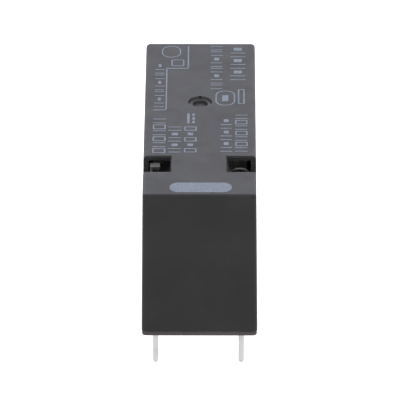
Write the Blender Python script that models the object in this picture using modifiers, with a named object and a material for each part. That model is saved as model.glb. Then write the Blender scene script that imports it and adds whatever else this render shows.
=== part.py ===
"""A slim printed-circuit power relay: one changeover contact worked by a coil lying along the case.

Metres, +Z up. X runs across the relay and Y along it, with the coil end at -Y. The origin is under
the middle of the case, level with the tips of the pins.
"""

import math

import bmesh
import bpy
from mathutils import Matrix, Vector

MM = 0.001

# Clearances
SEAT_GAP = 0.05 * MM
SLOT_GAP = 0.06 * MM
RUN_GAP = 0.12 * MM

# Case: a drafted five-sided cover
CASE_LENGTH = 28.3 * MM
CASE_WIDTH = 10.1 * MM
END_DRAFT = 0.15 * MM
SIDE_DRAFT = 0.14 * MM
ROOF_ABOVE_BOARD = 14.25 * MM
CASE_WALL = 0.45 * MM
ROOF_THICKNESS = 0.4 * MM
CORNER_RADIUS = 0.38 * MM
ROOF_EDGE_RADIUS = 0.3 * MM

# Openings and marks moulded in the roof
WINDOW_SETBACK = 4.42 * MM
WINDOW_LENGTH = 2.65 * MM
WINDOW_WIDTH = 2.58 * MM
WINDOW_SHIFT = -0.06 * MM
WINDOW_DROP = 2.3 * MM
WINDOW_CHAMFER = 0.12 * MM
RECESS_SETBACK = 16.95 * MM
RECESS_RADIUS = 1.08 * MM
RECESS_DEPTH = 0.2 * MM
RECESS_SLOPE = 0.12 * MM
RECESS_STEP_RADIUS = 0.68 * MM
RECESS_STEP_DEPTH = 0.23 * MM
RECESS_FLOOR = 0.4 * MM
RECESS_WALL = 0.4 * MM
DIMPLE_RADIUS = 0.17 * MM
DIMPLE_DEPTH = 0.05 * MM

# Base
PIN_LENGTH = 3.5 * MM
STANDOFF_HEIGHT = 0.3 * MM
STANDOFF_SIZE = 1.3 * MM
STANDOFF_SETBACK = 4.6 * MM
FLANGE_HEIGHT = 0.34 * MM
FLANGE_INSET = 0.04 * MM
BASE_PLUG_HEIGHT = 1.6 * MM
BARRIER_THICKNESS = 0.5 * MM
BARRIER_EAR = 0.9 * MM
WELL_DEPTH = 0.3 * MM
WELL_MARGIN = 0.4 * MM

# Pin grid: two rows across the case, set back from its ends and sides
COIL_PIN_SETBACK = 2.04 * MM
NC_PIN_SETBACK = 3.06 * MM
CONTACT_PIN_STEP = 3.2 * MM
PIN_EDGE = 1.3 * MM
PIN_SHIFT = -0.1 * MM
COIL_PIN_WIDTH = 0.48 * MM
COIL_PIN_THICKNESS = 0.4 * MM
CONTACT_PIN_WIDTH = 0.9 * MM
CONTACT_STRIP = 0.4 * MM
PIN_TIP_TAPER = 0.1 * MM
PIN_TIP_HEIGHT = 0.25 * MM

# Magnet: yoke, core, bobbin, winding
YOKE_THICKNESS = 1.2 * MM
YOKE_EAR_GAP = 0.3 * MM
YOKE_SETBACK = 0.9 * MM
YOKE_HEADROOM = 1.63 * MM
YOKE_BEND = 0.5 * MM
CORE_RADIUS = 1.5 * MM
CORE_HEAD_HEIGHT = 0.25 * MM
CORE_HEAD_SPREAD = 0.35 * MM
POLE_RADIUS = 2.2 * MM
POLE_THICKNESS = 0.6 * MM
FLANGE_WALL = 0.8 * MM
BOBBIN_SIDE_GAP = 0.3 * MM
COIL_ROOF_GAP = 2.32 * MM
BARREL_WALL = 0.45 * MM
FLANGE_STEP = 0.3 * MM
TAPE_THICKNESS = 0.12 * MM
EAR_WIDTH = 1.05 * MM
EAR_DEPTH = 1.0 * MM

# Coil terminals above the pins
ARM_THICKNESS = 0.2 * MM
ARM_WALL_GAP = 0.14 * MM
ARM_HEIGHT = 1.35 * MM
SHOULDER_HEIGHT = 0.8 * MM
TAB_DEPTH_BELOW_ROOF = 1.0 * MM
TAB_SETBACK = 6.85 * MM
TAB_LENGTH = 0.79 * MM
TAB_WIDTH = 0.84 * MM
LEAD_RADIUS = 0.07 * MM
LEAD_LOOP_RADIUS = 0.74 * MM
LEAD_LOOP_RISE = 0.45 * MM
LEAD_LOOP_INSET = 1.55 * MM
LEAD_LOOP_SETBACK = 6.9 * MM
LEAD_TOP_BELOW_ROOF = 1.05 * MM

# Armature and the card that it pulls
ARMATURE_SWING = math.radians(4.0)
ARMATURE_THICKNESS = 1.0 * MM
ARMATURE_FOOT = 0.48 * MM
ARMATURE_SHOULDER = 0.6 * MM
PIVOT_BELOW_YOKE_TOP = 0.3 * MM
ARMATURE_SIDE_STEP = 0.85 * MM
ARMATURE_NOTCH = 1.0 * MM
TONGUE_WIDTH = 1.8 * MM
TONGUE_RISE = 0.95 * MM
HINGE_SPRING_WIDTH = 2.2 * MM
HINGE_SPRING_SHEET = 0.12 * MM
HINGE_SPRING_REACH = 5.0 * MM
HINGE_SPRING_RISE = 2.6 * MM
HINGE_SPRING_BEND = 0.9 * MM
CARD_WIDTH = 3.2 * MM
CARD_HEAD_WIDTH = 4.6 * MM
CARD_THICKNESS = 1.15 * MM
CARD_WALL = 0.5 * MM
CARD_ROOF_GAP = 1.47 * MM

# Contacts
BLADE_THICKNESS = 0.16 * MM
BLADE_WIDTH = 3.4 * MM
BLADE_TIP_WIDTH = 1.7 * MM
BLADE_FOOT_RISE = 1.5 * MM
BLADE_FOOT_GAP = 0.1 * MM
CONTACT_BELOW_CARD = 2.62 * MM
CONTACT_RADIUS = 1.15 * MM
CONTACT_SHANK_RADIUS = 0.55 * MM
CONTACT_HEAD = 0.42 * MM
CONTACT_CROWN = 0.12 * MM
CONTACT_FACE_RADIUS = 0.86 * MM
CONTACT_TAIL_RADIUS = 0.82 * MM
FIXED_STRIP_WIDTH = 3.0 * MM
STRIP_TIP_WIDTH = 1.8 * MM
FOOT_CORNER = 0.36 * MM
COMMON_CORNER = 0.22 * MM
FOOT_HEIGHT = 0.9 * MM
JOGGLE_RISE = 1.1 * MM
STRIP_MARGIN = 0.35 * MM
NO_STRIP_CLEAR = 0.6 * MM
BLADE_RIVET_RADIUS = 0.35 * MM
BLADE_RIVET_HEAD = 0.16 * MM
BLADE_RIVET_SPREAD = 1.9 * MM
BLADE_RIVET_HEAD_RADIUS = 0.56 * MM
BLADE_RIVET_RISE = 0.9 * MM
BLADE_FOOT_OVERLAP = 1.2 * MM

# Heights above the pin tips
BOARD_Z = PIN_LENGTH
FLANGE_Z = BOARD_Z + STANDOFF_HEIGHT
RIM_Z = FLANGE_Z + FLANGE_HEIGHT + SEAT_GAP
ROOF_Z = BOARD_Z + ROOF_ABOVE_BOARD
CEILING_Z = ROOF_Z - ROOF_THICKNESS
PLUG_TOP_Z = FLANGE_Z + FLANGE_HEIGHT + BASE_PLUG_HEIGHT
YOKE_Z = PLUG_TOP_Z + HINGE_SPRING_SHEET + 2 * SEAT_GAP
YOKE_TOP_Z = YOKE_Z + YOKE_THICKNESS
COIL_LOW_Z = YOKE_TOP_Z + RUN_GAP
COIL_HIGH_Z = CEILING_Z - COIL_ROOF_GAP
COIL_Z = (COIL_LOW_Z + COIL_HIGH_Z) / 2
PIVOT_Z = YOKE_Z + YOKE_THICKNESS - PIVOT_BELOW_YOKE_TOP
CARD_Z = CEILING_Z - CARD_ROOF_GAP - CARD_THICKNESS
FOOT_Z = PLUG_TOP_Z + RUN_GAP
BLADE_ROOT_Z = FOOT_Z + BLADE_FOOT_RISE
CONTACT_Z = CARD_Z - CONTACT_BELOW_CARD

# Widths inside the case
FLANGE_HALF_WIDTH = CASE_WIDTH / 2 - SIDE_DRAFT - CASE_WALL - BOBBIN_SIDE_GAP
YOKE_WIDTH = 2 * (FLANGE_HALF_WIDTH - EAR_WIDTH - YOKE_EAR_GAP)
ARMATURE_WIDTH = 2 * (FLANGE_HALF_WIDTH - ARMATURE_SIDE_STEP)
WINDING_HALF_WIDTH = FLANGE_HALF_WIDTH - FLANGE_STEP
WINDING_HALF_HEIGHT = (COIL_HIGH_Z - COIL_LOW_Z) / 2 - FLANGE_STEP
RIGHT_X = CASE_WIDTH / 2 - PIN_EDGE + PIN_SHIFT
LEFT_X = PIN_EDGE - CASE_WIDTH / 2 + PIN_SHIFT
LEAD_LOOP_X = CASE_WIDTH / 2 - LEAD_LOOP_INSET

# Places along the case: the coil's from one end, and the contacts' from the other
COIL_END_Y = -CASE_LENGTH / 2
COIL_PIN_Y = COIL_END_Y + COIL_PIN_SETBACK
NC_PIN_Y = CASE_LENGTH / 2 - NC_PIN_SETBACK
COM_PIN_Y = NC_PIN_Y - CONTACT_PIN_STEP
NO_PIN_Y = COM_PIN_Y - CONTACT_PIN_STEP
BARRIER_Y = NO_PIN_Y - CONTACT_STRIP / 2 - NO_STRIP_CLEAR - BARRIER_THICKNESS
RECESS_Y = COIL_END_Y + RECESS_SETBACK

# The armature's lever gives the card's stroke, and the magnet fills the space that this leaves
ARMATURE_RISE = CARD_Z - RUN_GAP - PIVOT_Z
TONGUE_LEVER = ARMATURE_RISE + TONGUE_RISE / 2
CARD_STROKE = TONGUE_LEVER * math.sin(ARMATURE_SWING)
TONGUE_HALF = ARMATURE_THICKNESS / 2 + TONGUE_RISE * math.sin(ARMATURE_SWING) + SLOT_GAP
TONGUE_Y = BARRIER_Y - RUN_GAP - CARD_WALL - TONGUE_HALF
PIVOT_Y = TONGUE_Y - CARD_STROKE - ARMATURE_THICKNESS / 2 - SEAT_GAP
YOKE_START_Y = COIL_END_Y + YOKE_SETBACK
YOKE_END_Y = PIVOT_Y - SEAT_GAP
NEAR_FLANGE_Y = YOKE_START_Y + YOKE_THICKNESS + RUN_GAP
FAR_FLANGE_Y = YOKE_END_Y - POLE_THICKNESS - SEAT_GAP

# The blade's swing follows from the stroke, and the contact gap from the swing
BLADE_LEVER = CARD_Z + CARD_THICKNESS / 2 - BLADE_ROOT_Z
BLADE_SWING = math.asin(CARD_STROKE / BLADE_LEVER)
BLADE_Y = COM_PIN_Y - CONTACT_STRIP / 2 - BLADE_FOOT_GAP - BLADE_THICKNESS / 2
MOVING_HEAD = BLADE_THICKNESS / 2 + CONTACT_HEAD
CONTACT_OPEN = (CONTACT_Z + CONTACT_RADIUS - BLADE_ROOT_Z) * math.tan(BLADE_SWING) + SEAT_GAP
NC_FACE_Y = BLADE_Y + MOVING_HEAD + SEAT_GAP
NO_FACE_Y = BLADE_Y - MOVING_HEAD - CONTACT_OPEN
NC_STRIP_Y = NC_FACE_Y + CONTACT_HEAD + SEAT_GAP + CONTACT_STRIP / 2
NO_STRIP_Y = NO_FACE_Y - CONTACT_HEAD - SEAT_GAP - CONTACT_STRIP / 2


def clear_scene():
    for obj in list(bpy.data.objects):
        bpy.data.objects.remove(obj, do_unlink=True)


def new_collection(name):
    collection = bpy.data.collections.new(name)
    bpy.context.scene.collection.children.link(collection)
    return collection


def material(name, colour, roughness, metallic=0.0):
    made = bpy.data.materials.new(name)
    made.use_nodes = True
    shader = made.node_tree.nodes["Principled BSDF"]
    shader.inputs["Base Color"].default_value = (*colour, 1.0)
    shader.inputs["Roughness"].default_value = roughness
    shader.inputs["Metallic"].default_value = metallic
    return made


def object_from(name, bm, finish, collection):
    bmesh.ops.recalc_face_normals(bm, faces=bm.faces)
    mesh = bpy.data.meshes.new(name)
    bm.to_mesh(mesh)
    bm.free()
    obj = bpy.data.objects.new(name, mesh)
    collection.objects.link(obj)
    if finish:
        mesh.materials.append(finish)
    return obj


def box(name, low, high, finish, collection):
    """A box between two corners."""
    bm = bmesh.new()
    size = Vector(high) - Vector(low)
    middle = (Vector(high) + Vector(low)) / 2
    bmesh.ops.create_cube(bm, size=1.0, matrix=Matrix.Translation(middle) @ Matrix.Diagonal((*size, 1.0)))
    return object_from(name, bm, finish, collection)


def drafted_box(name, half_x, half_y, low_z, high_z, side_draft, end_draft, radius, finish, collection):
    """A box whose upright edges are rounded and whose walls lean in by the draft at the top."""
    obj = box(name, (-half_x, -half_y, low_z), (half_x, half_y, high_z), finish, collection)
    bm = bmesh.new()
    bm.from_mesh(obj.data)
    upright = [e for e in bm.edges if abs(e.verts[0].co.z - e.verts[1].co.z) > (high_z - low_z) / 2]
    bmesh.ops.bevel(bm, geom=upright, offset=radius, segments=4, profile=0.5, affect="EDGES")
    for vert in bm.verts:
        if vert.co.z > (low_z + high_z) / 2:
            vert.co.x *= (half_x - side_draft) / half_x
            vert.co.y *= (half_y - end_draft) / half_y
    bm.to_mesh(obj.data)
    bm.free()
    return obj


def drum(name, radius, start, end, finish, collection, axis="Z", segments=32, flare=0.0):
    """A cylinder between two points on a line along one axis, or a cone that widens by its flare."""
    turn = {"X": Matrix.Rotation(math.pi / 2, 4, "Y"), "Y": Matrix.Rotation(math.pi / 2, 4, "X"), "Z": Matrix()}
    start, end = Vector(start), Vector(end)
    place = Matrix.Translation((start + end) / 2) @ turn[axis]
    bm = bmesh.new()
    bmesh.ops.create_cone(
        bm, cap_ends=True, segments=segments, radius1=radius, radius2=radius + flare,
        depth=(end - start).length, matrix=place,
    )
    return object_from(name, bm, finish, collection)


def turned(name, profile, place, finish, collection, steps=32):
    """A turned piece: the profile's (radius, height) points spun round Z, then laid along +Y at place."""
    mesh = bpy.data.meshes.new(name)
    points = [(radius, 0.0, height) for radius, height in profile]
    mesh.from_pydata(points, [(i, i + 1) for i in range(len(points) - 1)], [])
    mesh.materials.append(finish)
    obj = bpy.data.objects.new(name, mesh)
    collection.objects.link(obj)
    obj.location = place
    obj.rotation_euler = (-math.pi / 2, 0.0, 0.0)
    screw = obj.modifiers.new("Turn", "SCREW")
    screw.steps = steps
    screw.render_steps = steps
    screw.use_merge_vertices = True
    screw.merge_threshold = 0.00001
    return obj


def stamped(name, rows, thickness, finish, collection):
    """A stamped and bent strip: rows of (height, left x, right x, y) skinned one after another."""
    bm = bmesh.new()
    edges = [[bm.verts.new((x, y, z)) for x in (left, right)] for z, left, right, y in rows]
    for lower, upper in zip(edges, edges[1:]):
        bm.faces.new((lower[0], lower[1], upper[1], upper[0]))
    obj = object_from(name, bm, finish, collection)
    sheet = obj.modifiers.new("Sheet", "SOLIDIFY")
    sheet.thickness = thickness
    sheet.offset = 0.0
    sheet.use_even_offset = True
    return obj


def combine(obj, other, operation):
    """Cuts or joins another shape by a Boolean, and keeps that shape as a hidden helper."""
    modifier = obj.modifiers.new(other.name, "BOOLEAN")
    modifier.operation = operation
    modifier.solver = "EXACT"
    modifier.object = other
    other.hide_render = True
    other.display_type = "WIRE"


def cut(obj, other):
    combine(obj, other, "DIFFERENCE")


def join(obj, other):
    combine(obj, other, "UNION")


def set_origin(obj, point):
    """Moves an object's origin to a joint's axis and leaves its mesh where it is."""
    obj.data.transform(Matrix.Translation(-Vector(point)))
    obj.location = point


def smooth(obj):
    obj.data.shade_smooth()
    obj.data.set_sharp_from_angle(angle=math.radians(35))


def half_width_at(z):
    """The case's outer half width at a height, which the draft narrows towards the roof."""
    share = (z - RIM_Z) / (ROOF_Z - RIM_Z)
    return CASE_WIDTH / 2 - SIDE_DRAFT * share


def make_case(parts, tools, finish):
    half_x = CASE_WIDTH / 2
    half_y = CASE_LENGTH / 2
    case = drafted_box(
        "case", half_x, half_y, RIM_Z, ROOF_Z, SIDE_DRAFT, END_DRAFT, CORNER_RADIUS, finish, parts
    )
    bm = bmesh.new()
    bm.from_mesh(case.data)
    roof_rim = [e for e in bm.edges if all(v.co.z > ROOF_Z - SEAT_GAP for v in e.verts)]
    bmesh.ops.bevel(bm, geom=roof_rim, offset=ROOF_EDGE_RADIUS, segments=3, profile=0.5, affect="EDGES")
    bm.to_mesh(case.data)
    bm.free()
    hollow = drafted_box(
        "case_hollow",
        half_x - CASE_WALL,
        half_y - CASE_WALL,
        RIM_Z - CASE_WALL,
        ROOF_Z - ROOF_THICKNESS,
        SIDE_DRAFT,
        END_DRAFT,
        CORNER_RADIUS / 2,
        None,
        tools,
    )
    cut(case, hollow)
    boss_radius = RECESS_RADIUS + RECESS_WALL
    boss_z = ROOF_Z - RECESS_DEPTH - RECESS_STEP_DEPTH - RECESS_FLOOR
    boss_top = (0, RECESS_Y, ROOF_Z - ROOF_THICKNESS / 2)
    join(case, drum("recess_boss", boss_radius, (0, RECESS_Y, boss_z), boss_top, None, tools, segments=40))
    above = (0, RECESS_Y, ROOF_Z + RECESS_DEPTH)
    ledge = (0, RECESS_Y, ROOF_Z - RECESS_DEPTH)
    floor = (0, RECESS_Y, ROOF_Z - RECESS_DEPTH - RECESS_STEP_DEPTH)
    ledge_radius = RECESS_RADIUS - RECESS_SLOPE
    flare = 2 * RECESS_SLOPE
    cut(case, drum("recess_top", ledge_radius, ledge, above, None, tools, segments=40, flare=flare))
    cut(case, drum("recess_step", RECESS_STEP_RADIUS, floor, above, None, tools, segments=40))
    dimple_y = RECESS_Y + RECESS_RADIUS - DIMPLE_RADIUS / 2
    dimple = (0, dimple_y, ROOF_Z - RECESS_DEPTH - DIMPLE_DEPTH)
    over = (0, dimple_y, ROOF_Z + RECESS_DEPTH)
    cut(case, drum("gate_dimple", DIMPLE_RADIUS, dimple, over, None, tools, segments=16))
    cut_windows(case, tools)
    smooth(case)
    return case


def cut_windows(case, tools):
    """Two corner windows, open through roof and side wall, with a small chamfer round the roof's edge."""
    half_x = CASE_WIDTH / 2
    inner_x = half_x - WINDOW_WIDTH
    outer_x = half_x + CASE_WALL
    start = COIL_END_Y + WINDOW_SETBACK
    end = start + WINDOW_LENGTH
    for side, name in ((-1, "left"), (1, "right")):
        low_x, high_x = sorted((side * inner_x + WINDOW_SHIFT, side * outer_x))
        low = (low_x, start, ROOF_Z - WINDOW_DROP)
        cut(case, box("window_" + name, low, (high_x, end, ROOF_Z + CASE_WALL), None, tools))
        low = (low_x, start, ROOF_Z - WINDOW_CHAMFER)
        flare = box("window_chamfer_" + name, low, (high_x, end, ROOF_Z + WINDOW_CHAMFER), None, tools)
        for vert in flare.data.vertices:
            if vert.co.z > ROOF_Z:
                vert.co.y += math.copysign(2 * WINDOW_CHAMFER, vert.co.y - (start + end) / 2)
                vert.co.x += math.copysign(2 * WINDOW_CHAMFER, vert.co.x - (low_x + high_x) / 2)
        cut(case, flare)


def pin_slot(name, x, y, width, depth, low, high, tools):
    """A cutter that a pin passes through with its clearance all round."""
    half = Vector((width / 2 + SLOT_GAP, depth / 2 + SLOT_GAP, 0))
    return box(name, Vector((x, y, low)) - half, Vector((x, y, high)) + half, None, tools)


def make_base(parts, tools, finish):
    half_x = CASE_WIDTH / 2
    half_y = CASE_LENGTH / 2
    plug_inset = CASE_WALL + SLOT_GAP
    base = drafted_box(
        "base",
        half_x - FLANGE_INSET,
        half_y - FLANGE_INSET,
        FLANGE_Z,
        FLANGE_Z + FLANGE_HEIGHT,
        0.0,
        0.0,
        CORNER_RADIUS,
        finish,
        parts,
    )
    plug = drafted_box(
        "base_plug",
        half_x - plug_inset,
        half_y - plug_inset,
        FLANGE_Z + FLANGE_HEIGHT / 2,
        PLUG_TOP_Z,
        SIDE_DRAFT * BASE_PLUG_HEIGHT / (ROOF_Z - RIM_Z),
        END_DRAFT * BASE_PLUG_HEIGHT / (ROOF_Z - RIM_Z),
        CORNER_RADIUS / 2,
        None,
        tools,
    )
    join(base, plug)
    for side_y, end in ((-1, "coil"), (1, "contact")):
        for side_x, hand in ((-1, "left"), (1, "right")):
            x = side_x * (half_x - STANDOFF_SIZE)
            y = side_y * (half_y - STANDOFF_SETBACK)
            half = STANDOFF_SIZE / 2
            low = (x - half, y - half, BOARD_Z)
            high = (x + half, y + half, FLANGE_Z + FLANGE_HEIGHT / 2)
            join(base, box("standoff_" + end + "_" + hand, low, high, None, tools))
    make_barrier(base, tools)
    pins = (
        ("coil_left", LEFT_X, COIL_PIN_Y, COIL_PIN_WIDTH, COIL_PIN_THICKNESS),
        ("coil_right", RIGHT_X, COIL_PIN_Y, COIL_PIN_WIDTH, COIL_PIN_THICKNESS),
        ("no", LEFT_X, NO_PIN_Y, CONTACT_PIN_WIDTH, CONTACT_STRIP),
        ("com", RIGHT_X, COM_PIN_Y, CONTACT_PIN_WIDTH, CONTACT_STRIP),
        ("nc", LEFT_X, NC_PIN_Y, CONTACT_PIN_WIDTH, CONTACT_STRIP),
    )
    for name, x, y, width, depth in pins:
        well = pin_slot(
            "well_" + name, x, y, width + 2 * WELL_MARGIN, depth + 2 * WELL_MARGIN,
            FLANGE_Z - WELL_DEPTH, FLANGE_Z + WELL_DEPTH, tools,
        )
        cut(base, well)
        cut(base, pin_slot("slot_" + name, x, y, width, depth, BOARD_Z, PLUG_TOP_Z + RUN_GAP, tools))
    return base


def make_barrier(base, tools):
    """The wall that parts the coil from the contacts, notched at the top where the card runs."""
    half_x = half_width_at(CARD_Z) - CASE_WALL - SLOT_GAP
    top = CARD_Z + BARRIER_EAR
    low = (-half_x, BARRIER_Y, PLUG_TOP_Z - SEAT_GAP)
    high = (half_x, BARRIER_Y + BARRIER_THICKNESS, top)
    join(base, box("barrier", low, high, None, tools))
    notch = CARD_WIDTH / 2 + RUN_GAP
    low = (-notch, BARRIER_Y - RUN_GAP, CARD_Z - RUN_GAP)
    high = (notch, BARRIER_Y + BARRIER_THICKNESS + RUN_GAP, top + RUN_GAP)
    cut(base, box("barrier_notch", low, high, None, tools))


def make_bobbin(parts, tools, finish):
    core_bore = CORE_RADIUS + SLOT_GAP
    barrel = CORE_RADIUS + SLOT_GAP + BARREL_WALL
    end_y = FAR_FLANGE_Y
    near = (NEAR_FLANGE_Y, NEAR_FLANGE_Y + FLANGE_WALL)
    far = (end_y - FLANGE_WALL, end_y)
    low_z, high_z = COIL_LOW_Z, COIL_HIGH_Z
    bobbin = drum("bobbin", barrel, (0, near[0], COIL_Z), (0, end_y, COIL_Z), finish, parts, "Y")
    for name, (start, end) in (("near", near), ("far", far)):
        low = (-FLANGE_HALF_WIDTH, start, low_z)
        high = (FLANGE_HALF_WIDTH, end, high_z)
        join(bobbin, box("flange_" + name, low, high, None, tools))
    for x, name in ((LEFT_X, "left"), (RIGHT_X, "right")):
        outer = math.copysign(FLANGE_HALF_WIDTH, x)
        inner = math.copysign(FLANGE_HALF_WIDTH - EAR_WIDTH, x)
        low = (min(inner, outer), COIL_PIN_Y - EAR_DEPTH / 2, low_z)
        high = (max(inner, outer), near[0] + FLANGE_WALL / 2, high_z)
        join(bobbin, box("ear_" + name, low, high, None, tools))
    for x, name in ((LEFT_X, "left"), (RIGHT_X, "right")):
        inner = x - math.copysign(COIL_PIN_WIDTH / 2 + SLOT_GAP, x)
        outer = math.copysign(FLANGE_HALF_WIDTH + RUN_GAP, x)
        half = COIL_PIN_THICKNESS / 2 + SLOT_GAP
        low = (min(inner, outer), COIL_PIN_Y - half, low_z - RUN_GAP)
        high = (max(inner, outer), COIL_PIN_Y + half, high_z + RUN_GAP)
        cut(bobbin, box("ear_slot_" + name, low, high, None, tools))
    bore_start = (0, near[0] - RUN_GAP, COIL_Z)
    cut(bobbin, drum("core_bore", core_bore, bore_start, (0, end_y + RUN_GAP, COIL_Z), None, tools, "Y"))
    return bobbin


def oval_drum(name, half_width, half_height, start, end, finish, collection):
    """A drum of oval section that lies along Y."""
    bm = bmesh.new()
    place = Matrix.Translation((0, (start + end) / 2, COIL_Z)) @ Matrix.Diagonal((half_width, 1.0, half_height, 1.0))
    turn = Matrix.Rotation(math.pi / 2, 4, "X")
    bmesh.ops.create_cone(
        bm, cap_ends=True, segments=56, radius1=1.0, radius2=1.0, depth=end - start, matrix=place @ turn
    )
    return object_from(name, bm, finish, collection)


def make_winding(parts, tools, copper, tape_finish):
    """The winding between the flanges, and the turn of tape over it."""
    start = NEAR_FLANGE_Y + FLANGE_WALL + SEAT_GAP
    end = FAR_FLANGE_Y - FLANGE_WALL - SEAT_GAP
    width, height = WINDING_HALF_WIDTH, WINDING_HALF_HEIGHT
    barrel = CORE_RADIUS + SLOT_GAP + BARREL_WALL + SEAT_GAP
    winding = oval_drum("coil_winding", width, height, start, end, copper, parts)
    bore = ((0, start - RUN_GAP, COIL_Z), (0, end + RUN_GAP, COIL_Z))
    cut(winding, drum("winding_bore", barrel, *bore, None, tools, "Y"))
    outer = SEAT_GAP + TAPE_THICKNESS
    tape = oval_drum("coil_tape", width + outer, height + outer, start, end, tape_finish, parts)
    room = (start - RUN_GAP, end + RUN_GAP)
    cut(tape, oval_drum("tape_inside", width + SEAT_GAP, height + SEAT_GAP, *room, None, tools))
    smooth(winding)
    smooth(tape)


def tape_top_z(x, margin):
    """The height of the taped coil's outer surface at x, raised by a margin."""
    rise = SEAT_GAP + TAPE_THICKNESS + margin
    share = min(abs(x) / (WINDING_HALF_WIDTH + rise), 1.0)
    return COIL_Z + (WINDING_HALF_HEIGHT + rise) * math.sqrt(1.0 - share**2)


def make_core(parts, steel):
    """Riveted over outside the yoke at one end, and spread into the pole face at the other."""
    start = YOKE_START_Y - SEAT_GAP - CORE_HEAD_HEIGHT
    length = YOKE_END_Y - start
    head_radius = CORE_RADIUS + CORE_HEAD_SPREAD
    pole_back = length - POLE_THICKNESS
    profile = [
        (0.0, length),
        (POLE_RADIUS, length),
        (POLE_RADIUS, pole_back),
        (CORE_RADIUS, pole_back),
        (CORE_RADIUS, CORE_HEAD_HEIGHT),
        (head_radius, CORE_HEAD_HEIGHT),
        (head_radius - CORE_HEAD_HEIGHT / 2, 0.0),
        (0.0, 0.0),
    ]
    core = turned("core", profile, (0, start, COIL_Z), steel, parts, 40)
    smooth(core)


def make_yoke(parts, tools, steel):
    """An L of thick strip: one leg lies on the base, the other stands at the coil end."""
    outer_y = YOKE_START_Y
    half = YOKE_WIDTH / 2
    yoke = box("yoke", (-half, outer_y, YOKE_Z), (half, YOKE_END_Y, YOKE_TOP_Z), steel, parts)
    leg = box(
        "yoke_leg", (-half, outer_y, YOKE_Z + YOKE_THICKNESS / 2),
        (half, outer_y + YOKE_THICKNESS, COIL_Z + CORE_RADIUS + YOKE_HEADROOM), None, tools,
    )
    join(yoke, leg)
    bend = box(
        "yoke_bend", (-half - RUN_GAP, outer_y - YOKE_BEND, YOKE_Z - YOKE_BEND),
        (half + RUN_GAP, outer_y + YOKE_BEND, YOKE_Z + YOKE_BEND), None, tools,
    )
    roll = (outer_y + YOKE_BEND, YOKE_Z + YOKE_BEND)
    round_bar = drum(
        "yoke_bend_round", YOKE_BEND, (-half - 2 * RUN_GAP, *roll), (half + 2 * RUN_GAP, *roll), None, tools, "X"
    )
    cut(bend, round_bar)
    cut(yoke, bend)
    hole = drum(
        "yoke_hole", CORE_RADIUS + SLOT_GAP, (0, outer_y - RUN_GAP, COIL_Z),
        (0, outer_y + YOKE_THICKNESS + RUN_GAP, COIL_Z), None, tools, "Y",
    )
    cut(yoke, hole)
    return yoke


def make_armature(parts, steel):
    """A plate that stands on the end of the yoke and leans away from the pole when the coil is off."""
    y = SEAT_GAP + ARMATURE_THICKNESS / 2
    foot = ARMATURE_WIDTH / 2 - ARMATURE_NOTCH
    rows = (
        (-ARMATURE_FOOT, -foot, foot, y),
        (ARMATURE_SHOULDER, -foot, foot, y),
        (2 * ARMATURE_SHOULDER, -ARMATURE_WIDTH / 2, ARMATURE_WIDTH / 2, y),
        (ARMATURE_RISE - TONGUE_RISE, -ARMATURE_WIDTH / 2, ARMATURE_WIDTH / 2, y),
        (ARMATURE_RISE, -TONGUE_WIDTH / 2, TONGUE_WIDTH / 2, y),
        (ARMATURE_RISE + TONGUE_RISE, -TONGUE_WIDTH / 2, TONGUE_WIDTH / 2, y),
    )
    armature = stamped("armature", rows, ARMATURE_THICKNESS, steel, parts)
    armature.location = (0, PIVOT_Y, PIVOT_Z)
    armature.rotation_euler = (-ARMATURE_SWING, 0, 0)
    return armature


def make_hinge_spring(parts, finish):
    """A leaf held under the yoke that turns up behind the armature and presses it to its edge."""
    low = PLUG_TOP_Z + SEAT_GAP + HINGE_SPRING_SHEET / 2
    back = PIVOT_Y + SEAT_GAP + ARMATURE_THICKNESS
    lean = (HINGE_SPRING_RISE + PIVOT_Z - low) * math.tan(ARMATURE_SWING)
    arm_y = back + lean + RUN_GAP + HINGE_SPRING_SHEET
    radius = HINGE_SPRING_BEND
    path = [(YOKE_END_Y - HINGE_SPRING_REACH, low), (arm_y - radius, low)]
    bends = 5
    for step in range(1, bends):
        turn = math.pi / 2 * step / bends
        path.append((arm_y - radius + radius * math.sin(turn), low + radius - radius * math.cos(turn)))
    path += [(arm_y, low + radius), (arm_y, low + radius + HINGE_SPRING_RISE)]
    half = HINGE_SPRING_WIDTH / 2
    rows = [(z, -half, half, y) for y, z in path]
    return stamped("hinge_spring", rows, HINGE_SPRING_SHEET, finish, parts)


def make_card(parts, tools, finish):
    """The plastic slide between the armature's tongue and the tip of the contact blade."""
    blade_half = BLADE_THICKNESS / 2 + CARD_THICKNESS * math.sin(BLADE_SWING) + SLOT_GAP
    start = TONGUE_Y - TONGUE_HALF - CARD_WALL
    end = BLADE_Y + blade_half + CARD_WALL
    low_z, high_z = CARD_Z, CARD_Z + CARD_THICKNESS
    head_end = TONGUE_Y + TONGUE_HALF + CARD_WALL
    card = box("card", (-CARD_WIDTH / 2, start, low_z), (CARD_WIDTH / 2, end, high_z), finish, parts)
    head = box(
        "card_head", (-CARD_HEAD_WIDTH / 2, start, low_z),
        (CARD_HEAD_WIDTH / 2, head_end, high_z), None, tools,
    )
    join(card, head)
    tongue_x = TONGUE_WIDTH / 2 + SLOT_GAP
    tip_x = BLADE_TIP_WIDTH / 2 + SLOT_GAP
    slots = (
        ("card_tongue_slot", tongue_x, TONGUE_Y, TONGUE_HALF),
        ("card_blade_slot", tip_x, BLADE_Y, blade_half),
    )
    for name, half_x, y, half_y in slots:
        low = (-half_x, y - half_y, low_z - RUN_GAP)
        high = (half_x, y + half_y, high_z + RUN_GAP)
        cut(card, box(name, low, high, None, tools))
    return card


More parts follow.
